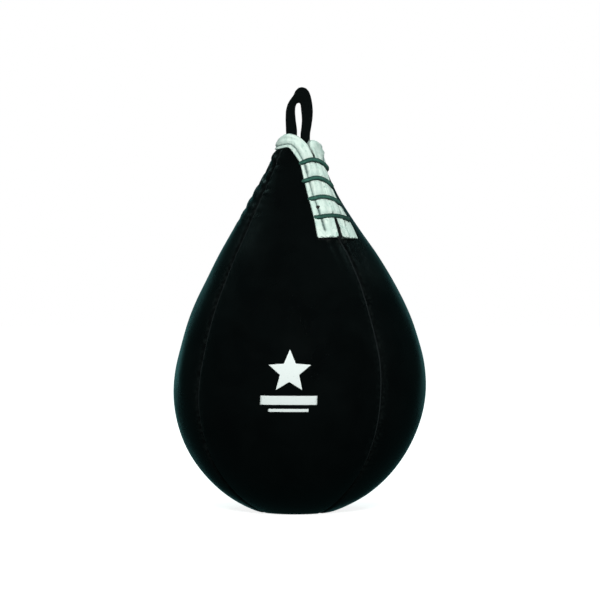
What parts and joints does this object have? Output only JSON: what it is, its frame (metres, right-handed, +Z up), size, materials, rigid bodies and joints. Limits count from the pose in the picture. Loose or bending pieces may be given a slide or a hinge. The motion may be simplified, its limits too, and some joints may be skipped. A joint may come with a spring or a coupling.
{
  "type": "punching ball",
  "caption": "Pear-shaped leather punching ball: gores round a bladder, a white laced placket at the neck and a webbing loop to hang it by.",
  "frame": {"origin": "middle of the flat base that the ball stands on", "axes": "+Z up through the hanging loop; -Y is the front, -Y and +X is the side that the laced slit faces; X is along the loop's flat face"},
  "size_m": [0.18, 0.18, 0.3024],
  "materials": {
    "leather_black": "glossy grained leather",
    "welt_black": "satin leather strip",
    "lining_cloth": "plain woven cotton",
    "leather_white": "satin soft leather",
    "thread_grey": "waxed thread",
    "thread_black": "waxed thread",
    "lace_cord": "waxed twisted cord",
    "webbing_black": "ribbed woven webbing",
    "leather_natural": "stiff undyed leather",
    "rubber_bladder": "dusted latex",
    "rubber_valve": "matte moulded rubber"
  },
  "bodies": {
    "bag": {"panel_right": "leather_black", "panel_back": "leather_black", "panel_left": "leather_black", "panel_front": "leather_black", "seam_welt_laced": "welt_black", "seam_welt_rear_right": "welt_black", "seam_welt_rear_left": "welt_black", "seam_welt_front_left": "welt_black", "lining_right": "lining_cloth", "lining_back": "lining_cloth", "lining_left": "lining_cloth", "lining_front": "lining_cloth", "bottom_patch": "leather_black", "tongue": "leather_black", "placket": "leather_white", "placket_stitching": "thread_grey", "lace": "lace_cord", "lace_knots": "lace_cord", "loop_tail_left": "webbing_black", "loop_tail_right": "webbing_black", "tail_stitching": "thread_black", "loop_washer": "leather_natural", "bladder": "rubber_bladder", "valve_seat": "rubber_valve", "valve_core": "rubber_valve"},
    "loop": {"hanging_loop": "webbing_black"}
  },
  "joints": [
    {"name": "loop_tilt", "type": "hinge", "parent": "bag", "child": "loop", "pos_m": [0, 0, 0.2685], "axis": [1, 0, 0], "range_deg": [-60, 60], "stiffness_Nm_per_rad": 0.05}
  ]
}
